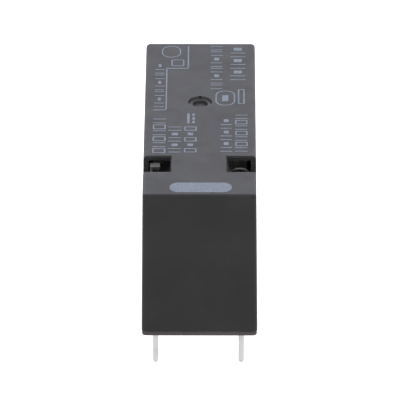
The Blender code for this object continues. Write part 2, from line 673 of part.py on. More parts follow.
def make_coil_terminal(hand, side, pin_x, parts, tools, finish):
    """A pin that rises through the bobbin's ear, and the arm that carries it back over the coil."""
    half_w, half_t = COIL_PIN_WIDTH / 2, COIL_PIN_THICKNESS / 2
    tab_z = ROOF_Z - TAB_DEPTH_BELOW_ROOF
    arm_low = tab_z - ARM_HEIGHT
    outer_x = side * (half_width_at(ROOF_Z) - CASE_WALL - ARM_WALL_GAP)
    inner_x = outer_x - side * ARM_THICKNESS
    name = "coil_terminal_" + hand
    rows = (
        (0.0, pin_x - half_w + PIN_TIP_TAPER, pin_x + half_w - PIN_TIP_TAPER, COIL_PIN_Y),
        (PIN_TIP_HEIGHT, pin_x - half_w, pin_x + half_w, COIL_PIN_Y),
        (arm_low + ARM_HEIGHT / 2, pin_x - half_w, pin_x + half_w, COIL_PIN_Y),
    )
    terminal = stamped(name, rows, COIL_PIN_THICKNESS, finish, parts)
    shoulder_low = (min(outer_x, pin_x - half_w), COIL_PIN_Y - half_t, arm_low)
    shoulder_high = (max(outer_x, pin_x + half_w), COIL_PIN_Y + half_t, arm_low + SHOULDER_HEIGHT)
    join(terminal, box(name + "_shoulder", shoulder_low, shoulder_high, None, tools))
    tab_y = COIL_END_Y + TAB_SETBACK
    lead_y = COIL_END_Y + LEAD_LOOP_SETBACK
    arm_end = tab_y + TAB_LENGTH if hand == "left" else lead_y - LEAD_RADIUS - 2 * SEAT_GAP
    arm_top = tab_z if hand == "left" else tab_z - ARM_HEIGHT / 3
    arm_low_corner = (min(outer_x, inner_x), COIL_PIN_Y - half_t + SEAT_GAP, arm_low + ARM_THICKNESS)
    arm_high_corner = (max(outer_x, inner_x), arm_end, arm_top)
    join(terminal, box(name + "_arm", arm_low_corner, arm_high_corner, None, tools))
    if hand == "left":
        tab_inner = outer_x - side * TAB_WIDTH
        low = (min(outer_x, tab_inner), tab_y, tab_z - ARM_THICKNESS)
        high = (max(outer_x, tab_inner), tab_y + TAB_LENGTH - SEAT_GAP, tab_z + SEAT_GAP)
        join(terminal, box(name + "_tab", low, high, None, tools))
    return terminal


def make_lead(hand, points, parts, finish):
    """One end of the winding's wire, from the coil to its terminal."""
    curve = bpy.data.curves.new("coil_lead_" + hand, "CURVE")
    curve.dimensions = "3D"
    curve.bevel_depth = LEAD_RADIUS
    curve.bevel_resolution = 1
    curve.use_fill_caps = True
    spline = curve.splines.new("POLY")
    spline.points.add(len(points) - 1)
    for point, co in zip(spline.points, points):
        point.co = (*co, 1.0)
    curve.materials.append(finish)
    lead = bpy.data.objects.new("coil_lead_" + hand, curve)
    parts.objects.link(lead)
    return lead


def make_leads(parts, finish):
    top_z = ROOF_Z - LEAD_TOP_BELOW_ROOF - LEAD_RADIUS
    y = COIL_END_Y + LEAD_LOOP_SETBACK
    middle_z = top_z - LEAD_LOOP_RISE
    steps = 14
    arch = []
    for step in range(steps + 1):
        turn = math.pi * (1 - step / steps)
        x = LEAD_LOOP_X + LEAD_LOOP_RADIUS * math.cos(turn)
        arch.append((x, y, middle_z + LEAD_LOOP_RISE * math.sin(turn)))
    margin = 2 * SEAT_GAP + LEAD_RADIUS
    start_x = LEAD_LOOP_X - LEAD_LOOP_RADIUS
    start_z = tape_top_z(start_x, margin)
    arch.insert(0, (start_x, y, start_z))
    make_lead("right", arch, parts, finish)
    outer_x = -(half_width_at(ROOF_Z) - CASE_WALL - ARM_WALL_GAP)
    post_x = outer_x + ARM_THICKNESS + SEAT_GAP + LEAD_RADIUS
    wrap_y = COIL_END_Y + TAB_SETBACK + TAB_LENGTH / 2
    wrap_z = ROOF_Z - TAB_DEPTH_BELOW_ROOF - ARM_THICKNESS - SEAT_GAP - LEAD_RADIUS
    low_x = post_x + (TAB_WIDTH - ARM_THICKNESS) / 2
    low_z = tape_top_z(low_x, margin)
    points = [(post_x, wrap_y, wrap_z), ((post_x + low_x) / 2, wrap_y, wrap_z - LEAD_RADIUS), (low_x, wrap_y, low_z)]
    make_lead("left", points, parts, finish)


def contact_terminal(name, pin_x, pin_y, strip_y, parts, finish):
    """A fixed contact's strip: pin, foot across the base, joggle and upright."""
    half_pin = CONTACT_PIN_WIDTH / 2
    half_strip = FIXED_STRIP_WIDTH / 2
    pin_left, pin_right = pin_x - half_pin, pin_x + half_pin
    foot_left, foot_right = min(pin_left, -half_strip), max(pin_right, half_strip)
    rows = (
        (0.0, pin_left + PIN_TIP_TAPER, pin_right - PIN_TIP_TAPER, pin_y),
        (PIN_TIP_HEIGHT, pin_left, pin_right, pin_y),
        (FOOT_Z, pin_left, pin_right, pin_y),
        (FOOT_Z + FOOT_CORNER, foot_left, foot_right, pin_y),
        (FOOT_Z + FOOT_HEIGHT, foot_left, foot_right, pin_y),
        (FOOT_Z + FOOT_HEIGHT + FOOT_CORNER, -half_strip, half_strip, pin_y),
        (FOOT_Z + FOOT_HEIGHT + FOOT_CORNER + JOGGLE_RISE, -half_strip, half_strip, strip_y),
        (CONTACT_Z + CONTACT_RADIUS - half_strip / 2, -half_strip, half_strip, strip_y),
        (CONTACT_Z + CONTACT_RADIUS + STRIP_MARGIN, -STRIP_TIP_WIDTH / 2, STRIP_TIP_WIDTH / 2, strip_y),
    )
    return stamped(name, rows, CONTACT_STRIP, finish, parts)


def fixed_contact(name, strip, face_y, direction, parts, tools, silver):
    """A contact rivet whose head faces the moving blade and whose tail is spread behind the strip."""
    through = CONTACT_STRIP + 2 * SEAT_GAP
    tail = CONTACT_HEAD / 2
    heights = (0.0, CONTACT_CROWN, CONTACT_HEAD, CONTACT_HEAD + through, CONTACT_HEAD + through + tail)
    profile = [
        (0.0, heights[4]),
        (CONTACT_TAIL_RADIUS, heights[4]),
        (CONTACT_TAIL_RADIUS, heights[3]),
        (CONTACT_SHANK_RADIUS, heights[3]),
        (CONTACT_SHANK_RADIUS, heights[2]),
        (CONTACT_RADIUS, heights[2]),
        (CONTACT_RADIUS, heights[1]),
        (CONTACT_FACE_RADIUS, heights[0]),
        (0.0, heights[0]),
    ]
    rivet = turned(name, profile, (0, face_y, CONTACT_Z), silver, parts, 28)
    if direction < 0:
        rivet.rotation_euler = (math.pi / 2, 0.0, 0.0)
    smooth(rivet)
    hole = drum(
        name + "_hole", CONTACT_SHANK_RADIUS + SLOT_GAP / 2, (0, face_y - 4 * CONTACT_STRIP, CONTACT_Z),
        (0, face_y + 4 * CONTACT_STRIP, CONTACT_Z), None, tools, "Y",
    )
    cut(strip, hole)
    return rivet


def make_blade(parts, tools, spring_finish, silver):
    """The moving blade, riveted to the common terminal at its foot, with a contact on both sides."""
    half, tip = BLADE_WIDTH / 2, BLADE_TIP_WIDTH / 2
    neck_z = CARD_Z - RUN_GAP - BLADE_THICKNESS
    rows = (
        (BLADE_ROOT_Z - BLADE_FOOT_OVERLAP, -half, half, BLADE_Y),
        (CONTACT_Z + CONTACT_RADIUS, -half, half, BLADE_Y),
        (neck_z, -tip, tip, BLADE_Y),
        (CARD_Z + CARD_THICKNESS, -tip, tip, BLADE_Y),
    )
    blade = stamped("moving_blade", rows, BLADE_THICKNESS, spring_finish, parts)
    set_origin(blade, (0, BLADE_Y, BLADE_ROOT_Z))
    face = BLADE_THICKNESS / 2 + SEAT_GAP / 2
    profile = [
        (0.0, MOVING_HEAD),
        (CONTACT_FACE_RADIUS, MOVING_HEAD),
        (CONTACT_RADIUS, MOVING_HEAD - CONTACT_CROWN),
        (CONTACT_RADIUS, face),
        (CONTACT_SHANK_RADIUS, face),
        (CONTACT_SHANK_RADIUS, -face),
        (CONTACT_RADIUS, -face),
        (CONTACT_RADIUS, CONTACT_CROWN - MOVING_HEAD),
        (CONTACT_FACE_RADIUS, -MOVING_HEAD),
        (0.0, -MOVING_HEAD),
    ]
    contact = turned("moving_contact", profile, (0, 0, CONTACT_Z - BLADE_ROOT_Z), silver, parts, 28)
    contact.parent = blade
    smooth(contact)
    hole = drum(
        "moving_contact_hole", CONTACT_SHANK_RADIUS + SLOT_GAP / 2, (0, BLADE_Y - CONTACT_STRIP, CONTACT_Z),
        (0, BLADE_Y + CONTACT_STRIP, CONTACT_Z), None, tools, "Y",
    )
    cut(blade, hole)
    return blade


def make_common_terminal(blade, parts, tools, finish, rivet_finish):
    """The common terminal, whose upright foot carries the blade on two rivets."""
    half_pin = CONTACT_PIN_WIDTH / 2
    half_foot = BLADE_WIDTH / 2
    right = RIGHT_X + half_pin
    top_z = FOOT_Z + BLADE_FOOT_RISE
    rows = (
        (0.0, RIGHT_X - half_pin + PIN_TIP_TAPER, right - PIN_TIP_TAPER, COM_PIN_Y),
        (PIN_TIP_HEIGHT, RIGHT_X - half_pin, right, COM_PIN_Y),
        (FOOT_Z, RIGHT_X - half_pin, right, COM_PIN_Y),
        (FOOT_Z + COMMON_CORNER, -half_foot, right, COM_PIN_Y),
        (top_z - COMMON_CORNER, -half_foot, right, COM_PIN_Y),
        (top_z, -half_foot, half_foot, COM_PIN_Y),
    )
    terminal = stamped("common_terminal", rows, CONTACT_STRIP, finish, parts)
    rivet_z = FOOT_Z + BLADE_RIVET_RISE
    grip = CONTACT_STRIP + BLADE_THICKNESS + BLADE_FOOT_GAP + 2 * SEAT_GAP
    start = BLADE_Y - BLADE_THICKNESS / 2 - SEAT_GAP - BLADE_RIVET_HEAD
    profile = [
        (0.0, grip + 2 * BLADE_RIVET_HEAD),
        (BLADE_RIVET_HEAD_RADIUS, grip + 2 * BLADE_RIVET_HEAD),
        (BLADE_RIVET_HEAD_RADIUS, grip + BLADE_RIVET_HEAD),
        (BLADE_RIVET_RADIUS, grip + BLADE_RIVET_HEAD),
        (BLADE_RIVET_RADIUS, BLADE_RIVET_HEAD),
        (BLADE_RIVET_HEAD_RADIUS, BLADE_RIVET_HEAD),
        (BLADE_RIVET_HEAD_RADIUS, 0.0),
        (0.0, 0.0),
    ]
    for side, hand in ((-1, "left"), (1, "right")):
        x = side * BLADE_RIVET_SPREAD / 2
        rivet = turned("blade_rivet_" + hand, profile, (x, start, rivet_z), rivet_finish, parts, 20)
        smooth(rivet)
        hole = drum(
            "blade_rivet_hole_" + hand, BLADE_RIVET_RADIUS + SLOT_GAP / 2, (x, start - grip, rivet_z),
            (x, start + 3 * grip, rivet_z), None, tools, "Y", 20,
        )
        cut(terminal, hole)
        cut(blade, hole)
    return terminal


def main():
    clear_scene()
    parts = new_collection("power_relay")
    tools = new_collection("cutters")
    black = material("black_case_plastic", (0.035, 0.035, 0.037), 0.5)
    base_black = material("base_plastic", (0.04, 0.036, 0.035), 0.55)
    bobbin_plastic = material("bobbin_plastic", (0.06, 0.06, 0.055), 0.5)
    card_plastic = material("card_plastic", (0.75, 0.73, 0.66), 0.45)
    tape_finish = material("coil_tape", (0.03, 0.03, 0.03), 0.4)
    copper = material("copper_wire", (0.72, 0.3, 0.12), 0.3, 1.0)
    steel = material("soft_steel", (0.55, 0.54, 0.52), 0.35, 1.0)
    tin = material("tinned_strip", (0.72, 0.72, 0.69), 0.3, 1.0)
    bronze = material("spring_bronze", (0.66, 0.45, 0.27), 0.3, 1.0)
    silver = material("contact_silver", (0.82, 0.82, 0.8), 0.25, 1.0)

    make_case(parts, tools, black)
    make_base(parts, tools, base_black)
    make_bobbin(parts, tools, bobbin_plastic)
    make_winding(parts, tools, copper, tape_finish)
    make_core(parts, steel)
    make_yoke(parts, tools, steel)
    make_armature(parts, steel)
    make_hinge_spring(parts, bronze)
    make_card(parts, tools, card_plastic)
    make_coil_terminal("left", -1, LEFT_X, parts, tools, tin)
    make_coil_terminal("right", 1, RIGHT_X, parts, tools, tin)
    make_leads(parts, copper)
    no_strip = contact_terminal("no_terminal", LEFT_X, NO_PIN_Y, NO_STRIP_Y, parts, tin)
    nc_strip = contact_terminal("nc_terminal", LEFT_X, NC_PIN_Y, NC_STRIP_Y, parts, tin)
    fixed_contact("no_contact", no_strip, NO_FACE_Y, -1, parts, tools, silver)
    fixed_contact("nc_contact", nc_strip, NC_FACE_Y, 1, parts, tools, silver)
    blade = make_blade(parts, tools, bronze, silver)
    make_common_terminal(blade, parts, tools, tin, steel)


main()
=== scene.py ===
import math

import bmesh
import bpy
from mathutils import Matrix, Vector


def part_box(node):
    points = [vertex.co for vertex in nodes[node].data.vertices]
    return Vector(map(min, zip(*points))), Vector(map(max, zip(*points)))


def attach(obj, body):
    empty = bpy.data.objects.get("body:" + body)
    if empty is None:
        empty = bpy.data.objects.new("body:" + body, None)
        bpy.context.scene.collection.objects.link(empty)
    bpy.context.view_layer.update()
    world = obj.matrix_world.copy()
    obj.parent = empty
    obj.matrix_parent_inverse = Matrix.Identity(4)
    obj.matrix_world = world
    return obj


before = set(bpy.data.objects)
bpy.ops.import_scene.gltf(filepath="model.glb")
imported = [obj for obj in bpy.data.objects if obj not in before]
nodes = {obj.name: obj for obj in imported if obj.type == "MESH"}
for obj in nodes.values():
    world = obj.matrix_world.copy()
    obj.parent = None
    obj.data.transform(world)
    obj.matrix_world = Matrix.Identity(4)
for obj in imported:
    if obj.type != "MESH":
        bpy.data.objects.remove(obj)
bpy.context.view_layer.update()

# finishes for the relay's solids, print on its roof, resin round its pins, and a studio

mm = 0.001
pinTerminals = ("coil_terminal_left", "coil_terminal_right", "no_terminal", "nc_terminal",
                "common_terminal")


# helpers for meshes

def meshPiece(name, bm, finish, body, smoothAngle=None):
    bmesh.ops.recalc_face_normals(bm, faces=bm.faces)
    mesh = bpy.data.meshes.new(name)
    bm.to_mesh(mesh)
    bm.free()
    mesh.materials.append(finish)
    if smoothAngle:
        mesh.shade_smooth()
        mesh.set_sharp_from_angle(angle=math.radians(smoothAngle))
    piece = bpy.data.objects.new(name, mesh)
    bpy.context.scene.collection.objects.link(piece)
    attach(piece, body)


def bridgeLoops(bm, loops, ring):
    # joins neighbouring loops; a ring also joins the last to the first, otherwise both are capped
    loopVerts = [[bm.verts.new(p) for p in loop] for loop in loops]
    if ring:
        loopVerts.append(loopVerts[0])
    count = len(loopVerts[0])
    for lower, upper in zip(loopVerts, loopVerts[1:]):
        for i in range(count):
            j = (i + 1) % count
            bm.faces.new((lower[i], lower[j], upper[j], upper[i]))
    if not ring:
        bm.faces.new(loopVerts[0])
        bm.faces.new(loopVerts[-1])


def roundedOutline(halfX, halfY, radius, steps):
    # points of a rounded rectangle, anticlockwise, in the XY plane
    points = []
    for cornerX, cornerY, start in ((1, 1, 0), (-1, 1, 90), (-1, -1, 180), (1, -1, 270)):
        for step in range(steps + 1):
            turn = math.radians(start + 90 * step / steps)
            points.append((cornerX * (halfX - radius) + radius * math.cos(turn),
                           cornerY * (halfY - radius) + radius * math.sin(turn)))
    return points


def placed(outline, x, y):
    return [(px + x, py + y) for px, py in outline]


def atHeight(outline, z):
    return [(x, y, z) for x, y in outline]


# helpers for materials

edgeWear = {
    "samples": 4,
    "starts": 0.97,  # cosine between the softened edge's normal and the face's own
    "full": 0.75,
}


def newFinish(name, colour, roughness, metallic=0.0):
    finish = bpy.data.materials.new(name)
    finish.use_nodes = True
    tree = finish.node_tree
    shader = tree.nodes["Principled BSDF"]
    shader.inputs["Base Color"].default_value = (*colour, 1.0)
    shader.inputs["Roughness"].default_value = roughness
    shader.inputs["Metallic"].default_value = metallic
    return finish, tree, shader


def pieceCoordinates(tree, stretch=None):
    coordinates = tree.nodes.new("ShaderNodeTexCoord")
    if stretch is None:
        return coordinates.outputs["Object"]
    mapping = tree.nodes.new("ShaderNodeMapping")
    mapping.inputs["Scale"].default_value = stretch
    tree.links.new(coordinates.outputs["Object"], mapping.inputs["Vector"])
    return mapping.outputs["Vector"]


def noise(tree, scale, detail=3.0, roughness=0.55, stretch=None):
    # scale is in features for each metre of the piece
    texture = tree.nodes.new("ShaderNodeTexNoise")
    texture.inputs["Scale"].default_value = scale
    texture.inputs["Detail"].default_value = detail
    texture.inputs["Roughness"].default_value = roughness
    tree.links.new(pieceCoordinates(tree, stretch), texture.inputs["Vector"])
    return texture.outputs["Fac"]


def remap(tree, value, low, high, toLow=0.0, toHigh=1.0):
    mapper = tree.nodes.new("ShaderNodeMapRange")
    mapper.clamp = True
    limits = {"From Min": low, "From Max": high, "To Min": toLow, "To Max": toHigh}
    for name, number in limits.items():
        mapper.inputs[name].default_value = number
    tree.links.new(value, mapper.inputs["Value"])
    return mapper.outputs["Result"]


def blendColours(tree, factor, first, second):
    mixer = tree.nodes.new("ShaderNodeMix")
    mixer.data_type = "RGBA"
    tree.links.new(factor, mixer.inputs["Factor"])
    for socket, colour in ((mixer.inputs[6], first), (mixer.inputs[7], second)):
        if isinstance(colour, tuple):
            socket.default_value = (*colour, 1.0)
        else:
            tree.links.new(colour, socket)
    return mixer.outputs[2]


def multiply(tree, first, second):
    # second is a socket or a plain number
    product = tree.nodes.new("ShaderNodeMath")
    product.operation = "MULTIPLY"
    tree.links.new(first, product.inputs[0])
    if isinstance(second, float):
        product.inputs[1].default_value = second
    else:
        tree.links.new(second, product.inputs[1])
    return product.outputs["Value"]


def edgeMask(tree, radius):
    # how far the normal of a softened edge turns away from the face's own
    softened = tree.nodes.new("ShaderNodeBevel")
    softened.samples = edgeWear["samples"]
    softened.inputs["Radius"].default_value = radius
    plain = tree.nodes.new("ShaderNodeNewGeometry")
    compare = tree.nodes.new("ShaderNodeVectorMath")
    compare.operation = "DOT_PRODUCT"
    tree.links.new(softened.outputs["Normal"], compare.inputs[0])
    tree.links.new(plain.outputs["Normal"], compare.inputs[1])
    return remap(tree, compare.outputs["Value"], edgeWear["starts"], edgeWear["full"])


def varyTone(tree, shader, share, first, second):
    tree.links.new(blendColours(tree, share, first, second), shader.inputs["Base Color"])


def varyRoughness(tree, shader, pattern, limits):
    tree.links.new(remap(tree, pattern, 0.3, 0.7, *limits), shader.inputs["Roughness"])


def addBump(tree, shader, height, strength, distance, below=None):
    bump = tree.nodes.new("ShaderNodeBump")
    bump.inputs["Strength"].default_value = strength
    bump.inputs["Distance"].default_value = distance
    tree.links.new(height, bump.inputs["Height"])
    if below:
        tree.links.new(below, bump.inputs["Normal"])
    tree.links.new(bump.outputs["Normal"], shader.inputs["Normal"])
    return bump.outputs["Normal"]


def setFinish(finish, *names):
    for name in names:
        mesh = nodes[name].data
        mesh.materials.clear()
        mesh.materials.append(finish)


# moulded plastics

caseLook = {
    "dark": (0.0096, 0.0096, 0.0100),
    "light": (0.0118, 0.0118, 0.0123),
    "edge": (0.040, 0.040, 0.041),
    "roughness": (0.37, 0.47),
    "specular": 0.12,
    "cloudsPerMetre": 260,
    "patchesPerMetre": 700,
    "scuffsPerMetre": 1500,
    "wearWidth": 0.15 * mm,
    "wavesPerMetre": 120,
    "waveDepth": 0.05 * mm,
    "grainPerMetre": 9000,
    "grainDepth": 0.006 * mm,
}
recessPaintedLight = {
    "paintedLightTone": (0.0200, 0.0200, 0.0206),  # painted light: a little paler than the roof round it, for the light that falls into the recess
    "y": 2.8 * mm,
    "radius": 1.1 * mm,
    "fade": 0.08 * mm,
}
baseLook = dict(caseLook, dark=(0.028, 0.024, 0.024), light=(0.036, 0.031, 0.030),
                edge=(0.06, 0.053, 0.05), roughness=(0.42, 0.55))
# painted light: the bobbin's tones are a mid grey, paler than its black plastic, to lift the
# shade seen through the case's windows
bobbinLook = dict(caseLook, dark=(0.130, 0.130, 0.126), light=(0.160, 0.160, 0.154),
                  edge=(0.06, 0.06, 0.056), roughness=(0.34, 0.48))
cardLook = dict(caseLook, dark=(0.58, 0.55, 0.47), light=(0.68, 0.65, 0.57),
                edge=(0.75, 0.73, 0.66), roughness=(0.35, 0.5), specular=0.5)


def recessLightShare(tree, recess):
    # 1 inside the round recess of the roof, where painted light goes, 0 outside it
    flat = tree.nodes.new("ShaderNodeVectorMath")
    flat.operation = "MULTIPLY"
    flat.inputs[1].default_value = (1.0, 1.0, 0.0)
    tree.links.new(pieceCoordinates(tree), flat.inputs[0])
    away = tree.nodes.new("ShaderNodeVectorMath")
    away.operation = "DISTANCE"
    away.inputs[1].default_value = (0.0, recess["y"], 0.0)
    tree.links.new(flat.outputs["Vector"], away.inputs[0])
    edge = recess["radius"]
    return remap(tree, away.outputs["Value"], edge, edge + recess["fade"], 1.0, 0.0)


def mouldedPlastic(name, look, recess=None):
    finish, tree, shader = newFinish(name, look["dark"], look["roughness"][0])
    shader.inputs["Specular IOR Level"].default_value = look["specular"]
    clouds = noise(tree, look["cloudsPerMetre"], 4.0)
    tone = blendColours(tree, remap(tree, clouds, 0.35, 0.65), look["dark"], look["light"])
    # painted light: the plastic inside the roof's round recess is painted paler than the roof
    if recess:
        tone = blendColours(tree, recessLightShare(tree, recess), tone, recess["paintedLightTone"])
    scuffs = remap(tree, noise(tree, look["scuffsPerMetre"]), 0.4, 0.62, 0.15, 1.0)
    worn = multiply(tree, edgeMask(tree, look["wearWidth"]), scuffs)
    varyTone(tree, shader, worn, tone, look["edge"])
    patches = noise(tree, look["patchesPerMetre"], 5.0, 0.6)
    varyRoughness(tree, shader, patches, look["roughness"])
    waves = noise(tree, look["wavesPerMetre"], 1.0)
    grain = noise(tree, look["grainPerMetre"], 2.0)
    wavy = addBump(tree, shader, waves, 0.25, look["waveDepth"])
    addBump(tree, shader, grain, 0.5, look["grainDepth"], wavy)
    return finish


setFinish(mouldedPlastic("mouldedCaseBlack", caseLook, recessPaintedLight), "case")
setFinish(mouldedPlastic("mouldedBaseBlack", baseLook), "base")
setFinish(mouldedPlastic("mouldedBobbinPaintedLight", bobbinLook), "bobbin")
setFinish(mouldedPlastic("cardIvory", cardLook), "card")
print("plastics done")


# metals

metalLook = {
    "metallic": 1.0,
    "stainPerMetre": 500,
    "wearWidth": 0.06 * mm,
    "wearShare": 0.8,
    "linesPerMetre": 2500,
    "stretch": (1.0, 1.0, 0.08),  # drawing lines run up and down
    "lineDepth": 0.004 * mm,
}
tinLook = dict(metalLook, colour=(0.43, 0.43, 0.425), stain=(0.34, 0.34, 0.33),
               bright=(0.58, 0.58, 0.57), roughness=(0.36, 0.52), metallic=0.65,
               stainPerMetre=700)
steelLook = dict(metalLook, colour=(0.42, 0.41, 0.39), stain=(0.33, 0.32, 0.30),
                 bright=(0.6, 0.59, 0.56), roughness=(0.28, 0.45),
                 stretch=(1.0, 0.08, 1.0))  # here they run along the case
bronzeLook = dict(metalLook, colour=(0.60, 0.40, 0.22), stain=(0.46, 0.29, 0.15),
                  bright=(0.74, 0.53, 0.32), roughness=(0.24, 0.38))
silverLook = dict(metalLook, colour=(0.74, 0.73, 0.70), stain=(0.52, 0.50, 0.44),
                  bright=(0.85, 0.84, 0.82), roughness=(0.2, 0.36), stainPerMetre=1400)
# painted shade: the tinned strip inside the case, nearest the coil end, is painted darker by
# position, for the shade under the case's rim
paintedShadeStrip = {
    "colour": (0.072, 0.070, 0.067),
    "y": -7.26 * mm,  # it covers what lies nearer the coil end than this
    "fadeY": 0.04 * mm,
    "z": 4.0 * mm,  # and above this, so the pins stay bright
    "fadeZ": 0.5 * mm,
}


def paintedShadeShare(tree, paintedShade):
    # 1 where the tinned strip inside the case gets painted shade, 0 elsewhere
    place = tree.nodes.new("ShaderNodeSeparateXYZ")
    tree.links.new(pieceCoordinates(tree), place.inputs["Vector"])
    inside = remap(tree, place.outputs["Z"], paintedShade["z"], paintedShade["z"] + paintedShade["fadeZ"])
    nearer = remap(tree, place.outputs["Y"], paintedShade["y"], paintedShade["y"] - paintedShade["fadeY"])
    return multiply(tree, inside, nearer)


def metal(name, look, paintedShade=None):
    finish, tree, shader = newFinish(name, look["colour"], look["roughness"][0], look["metallic"])
    stains = remap(tree, noise(tree, look["stainPerMetre"], 4.0), 0.4, 0.68)
    worn = multiply(tree, edgeMask(tree, look["wearWidth"]), look["wearShare"])
    tone = blendColours(tree, stains, look["colour"], look["stain"])
    if paintedShade:
        tone = blendColours(tree, worn, tone, look["bright"])
        # painted shade on the tinned strip inside the case
        varyTone(tree, shader, paintedShadeShare(tree, paintedShade), tone, paintedShade["colour"])
    else:
        varyTone(tree, shader, worn, tone, look["bright"])
    lines = noise(tree, look["linesPerMetre"], 3.0, 0.6, look["stretch"])
    varyRoughness(tree, shader, lines, look["roughness"])
    addBump(tree, shader, lines, 0.3, look["lineDepth"])
    return finish


setFinish(metal("tinPlate", tinLook, paintedShadeStrip), *pinTerminals)
setFinish(metal("softSteel", steelLook), "core", "yoke", "armature", "blade_rivet_left",
          "blade_rivet_right")
setFinish(metal("springBronze", bronzeLook), "moving_blade", "hinge_spring")
setFinish(metal("contactSilver", silverLook), "moving_contact", "no_contact", "nc_contact")
print("metals done")


# coil: enamelled wire under a turn of tape, and its two leads; the tape's mid grey is painted
# light, paler than black tape

windingLook = {
    "copper": (0.50, 0.18, 0.07),
    # painted shade: darker copper in the grooves between turns
    "gap": (0.12, 0.035, 0.015),
    "metallic": 0.6,
    "coat": 0.5,
    "roughness": (0.22, 0.36),
    "patchesPerMetre": 900,
    "waveScale": 1130,  # about 3.6 turns for each millimetre
    "waviness": 0.4,
    "turnDepth": 0.05 * mm,
}
# painted light: the tape's tones are a mid grey, paler than black tape, to lift the shade seen
# through the case's windows
tapeLook = {
    "tape": (0.180, 0.180, 0.176),
    "streak": (0.230, 0.230, 0.225),
    "roughness": (0.26, 0.42),
    "wrinklesPerMetre": 900,
    "stretch": (0.3, 1.0, 0.3),  # wrinkles run round the coil
    "wrinkleDepth": 0.03 * mm,
}
leadLook = {
    "tone": (0.045, 0.044, 0.042),
    "shine": (0.075, 0.073, 0.070),
    "metallic": 0.35,
    "roughness": (0.24, 0.4),
    "varnishPerMetre": 2200,
    "varnishDepth": 0.004 * mm,
}


def windingFinish(look):
    finish, tree, shader = newFinish("enamelledWinding", look["copper"], look["roughness"][0],
                                     look["metallic"])
    shader.inputs["Coat Weight"].default_value = look["coat"]
    turns = tree.nodes.new("ShaderNodeTexWave")
    turns.wave_type = "BANDS"
    turns.bands_direction = "Y"
    turns.inputs["Scale"].default_value = look["waveScale"]
    turns.inputs["Distortion"].default_value = look["waviness"]
    tree.links.new(pieceCoordinates(tree), turns.inputs["Vector"])
    # painted shade: the bands between the turns are darkened for the shade in the grooves
    varyTone(tree, shader, turns.outputs["Fac"], look["gap"], look["copper"])
    varyRoughness(tree, shader, noise(tree, look["patchesPerMetre"]), look["roughness"])
    addBump(tree, shader, turns.outputs["Fac"], 0.8, look["turnDepth"])
    return finish


def tapeFinish(look):
    finish, tree, shader = newFinish("coilTape", look["tape"], look["roughness"][0])
    wrinkles = noise(tree, look["wrinklesPerMetre"], stretch=look["stretch"])
    varyTone(tree, shader, remap(tree, wrinkles, 0.4, 0.66), look["tape"], look["streak"])
    varyRoughness(tree, shader, wrinkles, look["roughness"])
    addBump(tree, shader, wrinkles, 0.5, look["wrinkleDepth"])
    return finish


def leadFinish(look):
    finish, tree, shader = newFinish("varnishedLead", look["tone"], look["roughness"][0],
                                     look["metallic"])
    varnish = noise(tree, look["varnishPerMetre"])
    varyTone(tree, shader, remap(tree, varnish, 0.35, 0.65), look["tone"], look["shine"])
    varyRoughness(tree, shader, varnish, look["roughness"])
    addBump(tree, shader, varnish, 0.3, look["varnishDepth"])
    return finish


setFinish(windingFinish(windingLook), "coil_winding")
setFinish(tapeFinish(tapeLook), "coil_tape")
setFinish(leadFinish(leadLook), "coil_lead_left", "coil_lead_right")
print("coil done")


# print on the roof: plain marks, and the usual sign for direct current

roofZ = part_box("case")[1].z
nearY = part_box("case")[0].y
printLook = {
    "ink": (0.077, 0.093, 0.122),
    "thin": (0.064, 0.076, 0.099),
    "roughness": (0.42, 0.55),
    "specular": 0.2,
    "specklesPerMetre": 5200,
    "speckleDepth": 0.004 * mm,
    "sink": 0.004,  # from here on in millimetres, as the marks are
    "height": 0.007,
    "stroke": 0.12,
    "cell": 0.78,
    "space": 0.24,
    "frameRadius": 0.05,
    "blockMargins": (0.3, 0.14),
    "leastRadius": 0.02,
    "barRounding": 0.35,  # share of a plain bar's half width
    "roundest": 0.98,  # share of the half width that a given radius keeps within
}

# bar and ring: low x, high x, low and high distance from the coil end, corner radius
# row: the same four, and the marks that it repeats
printPieces = {
    "orientationBar": (
        ("bar", -2.57, 2.78, 0.77, 2.43, 0.75),
    ),
    "printRowsLeft": (
        ("row", -4.14, -3.00, 7.65, 13.86, ("frame", "rungs")),
        ("row", -2.78, -1.63, 7.77, 12.42, ("rungs", "block")),
        ("row", -1.38, -0.28, 7.78, 12.43, ("frame", "block")),
        ("row", -4.06, -3.20, 16.0, 24.12, ("rungs", "block", "rungs")),
    ),
    "printRowsRight": (
        ("row", 1.79, 2.82, 7.93, 13.91, ("rungs", "block")),
        ("row", 3.09, 4.18, 7.94, 14.59, ("rungs", "frame")),
        ("row", 0.93, 1.97, 19.35, 27.5, ("rungs", "rungs", "block")),
        ("row", 2.68, 4.02, 21.04, 27.31, ("rungs", "block")),
    ),
    "directCurrentSign": (  # a long stroke beside three short ones
        ("bar", -1.13, -0.92, 13.03, 14.82),
        ("bar", -0.68, -0.46, 13.03, 13.48),
        ("bar", -0.68, -0.46, 13.70, 14.15),
        ("bar", -0.68, -0.46, 14.37, 14.82),
    ),
    "printBorder": (
        ("bar", -4.14, -2.95, 15.38, 15.54),
        ("bar", -3.07, -2.95, 15.38, 23.24),
        ("bar", -3.07, -1.03, 23.16, 23.32),
        ("bar", -1.15, -1.03, 23.24, 27.48),
    ),
    "printOutlines": (
        ("ring", -3.49, -1.75, 25.3, 27.48, 0.85),
        ("ring", -2.61, -1.45, 23.65, 24.9, 0.2),
        ("ring", 1.35, 3.1, 16.3, 19.05, 0.8),
        ("bar", 1.95, 2.5, 17.1, 18.2),
        ("ring", 3.35, 3.95, 16.6, 19.3, 0.1),
    ),
}


